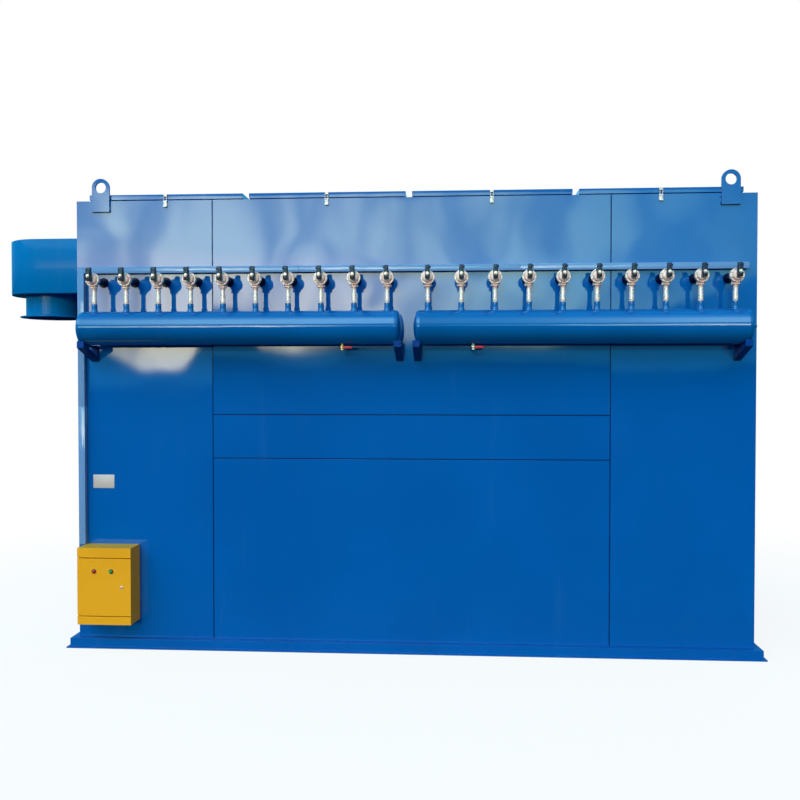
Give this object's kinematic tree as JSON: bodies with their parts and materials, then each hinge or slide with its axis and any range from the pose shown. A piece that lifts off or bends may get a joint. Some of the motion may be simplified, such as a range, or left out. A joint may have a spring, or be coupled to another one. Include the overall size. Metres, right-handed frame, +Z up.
{
  "type": "baghouse dust collector",
  "caption": "Pulse-jet baghouse dust collector: a blue sheet-steel filter housing with air tanks and a row of diaphragm valves, roof lids, an inlet hood and a yellow control box.",
  "frame": {"origin": "on the floor under the middle of the housing", "axes": "+X along the housing to the right, -Y to the valve side, which is the front, +Z up"},
  "size_m": [5.202, 2.323, 2.9758],
  "materials": {
    "housing_blue": "gloss",
    "tank_blue": "gloss",
    "trunk_blue": "satin",
    "galvanised": "satin",
    "cast_aluminium": "cast",
    "coil_black": "matt",
    "bright_steel": "polished",
    "brass": "satin",
    "lever_red": "satin",
    "box_yellow": "gloss",
    "lamp_red": "gloss",
    "lamp_green": "gloss"
  },
  "bodies": {
    "housing": {"back_wall": "housing_blue", "base_frame": "housing_blue", "blow_pipes_left": "galvanised", "blow_pipes_right": "galvanised", "coil_nuts_left": "bright_steel", "coil_nuts_right": "bright_steel", "coils_left": "coil_black", "coils_right": "coil_black", "control_box": "box_yellow", "drain_valve_left": "brass", "drain_valve_right": "brass", "front_panel_bottom": "housing_blue", "front_panel_left": "housing_blue", "front_panel_middle": "housing_blue", "front_panel_right": "housing_blue", "front_panel_top": "housing_blue", "housing_core": "housing_blue", "inlet_flange": "housing_blue", "inlet_hood": "housing_blue", "inlet_neck": "housing_blue", "lid_1": "housing_blue", "lid_2": "housing_blue", "lid_3": "housing_blue", "lid_4": "housing_blue", "lid_catches": "bright_steel", "lifting_eyes_back": "housing_blue", "lifting_eyes_front": "housing_blue", "mounting_plate": "galvanised", "risers_left": "galvanised", "risers_right": "galvanised", "roof_plate": "housing_blue", "side_panel_left": "housing_blue", "side_panel_right": "housing_blue", "side_trunk": "trunk_blue", "tank_left_brackets": "tank_blue", "tank_left_ends": "tank_blue", "tank_left_shell": "tank_blue", "tank_right_brackets": "tank_blue", "tank_right_ends": "tank_blue", "tank_right_shell": "tank_blue", "top_trunk": "trunk_blue", "valves_left": "cast_aluminium", "valves_right": "cast_aluminium"},
    "door": {"control_door": "box_yellow", "lamp_red": "lamp_red", "lamp_green": "lamp_green", "door_lock": "bright_steel"},
    "lever_left": {"drain_lever_left": "lever_red"},
    "lever_right": {"drain_lever_right": "lever_red"}
  },
  "joints": [
    {"name": "door_hinge", "type": "hinge", "parent": "housing", "child": "door", "pos_m": [-2.051, -1.15, 0.414], "axis": [0, 0, -1], "range_deg": [0, 110]},
    {"name": "lever_left_turn", "type": "hinge", "parent": "housing", "child": "lever_left", "pos_m": [-0.397, -1.179, 1.9005], "axis": [0, 1, 0], "range_deg": [0, 90]},
    {"name": "lever_right_turn", "type": "hinge", "parent": "housing", "child": "lever_right", "pos_m": [0.397, -1.179, 1.9005], "axis": [0, 1, 0], "range_deg": [0, 90]}
  ]
}
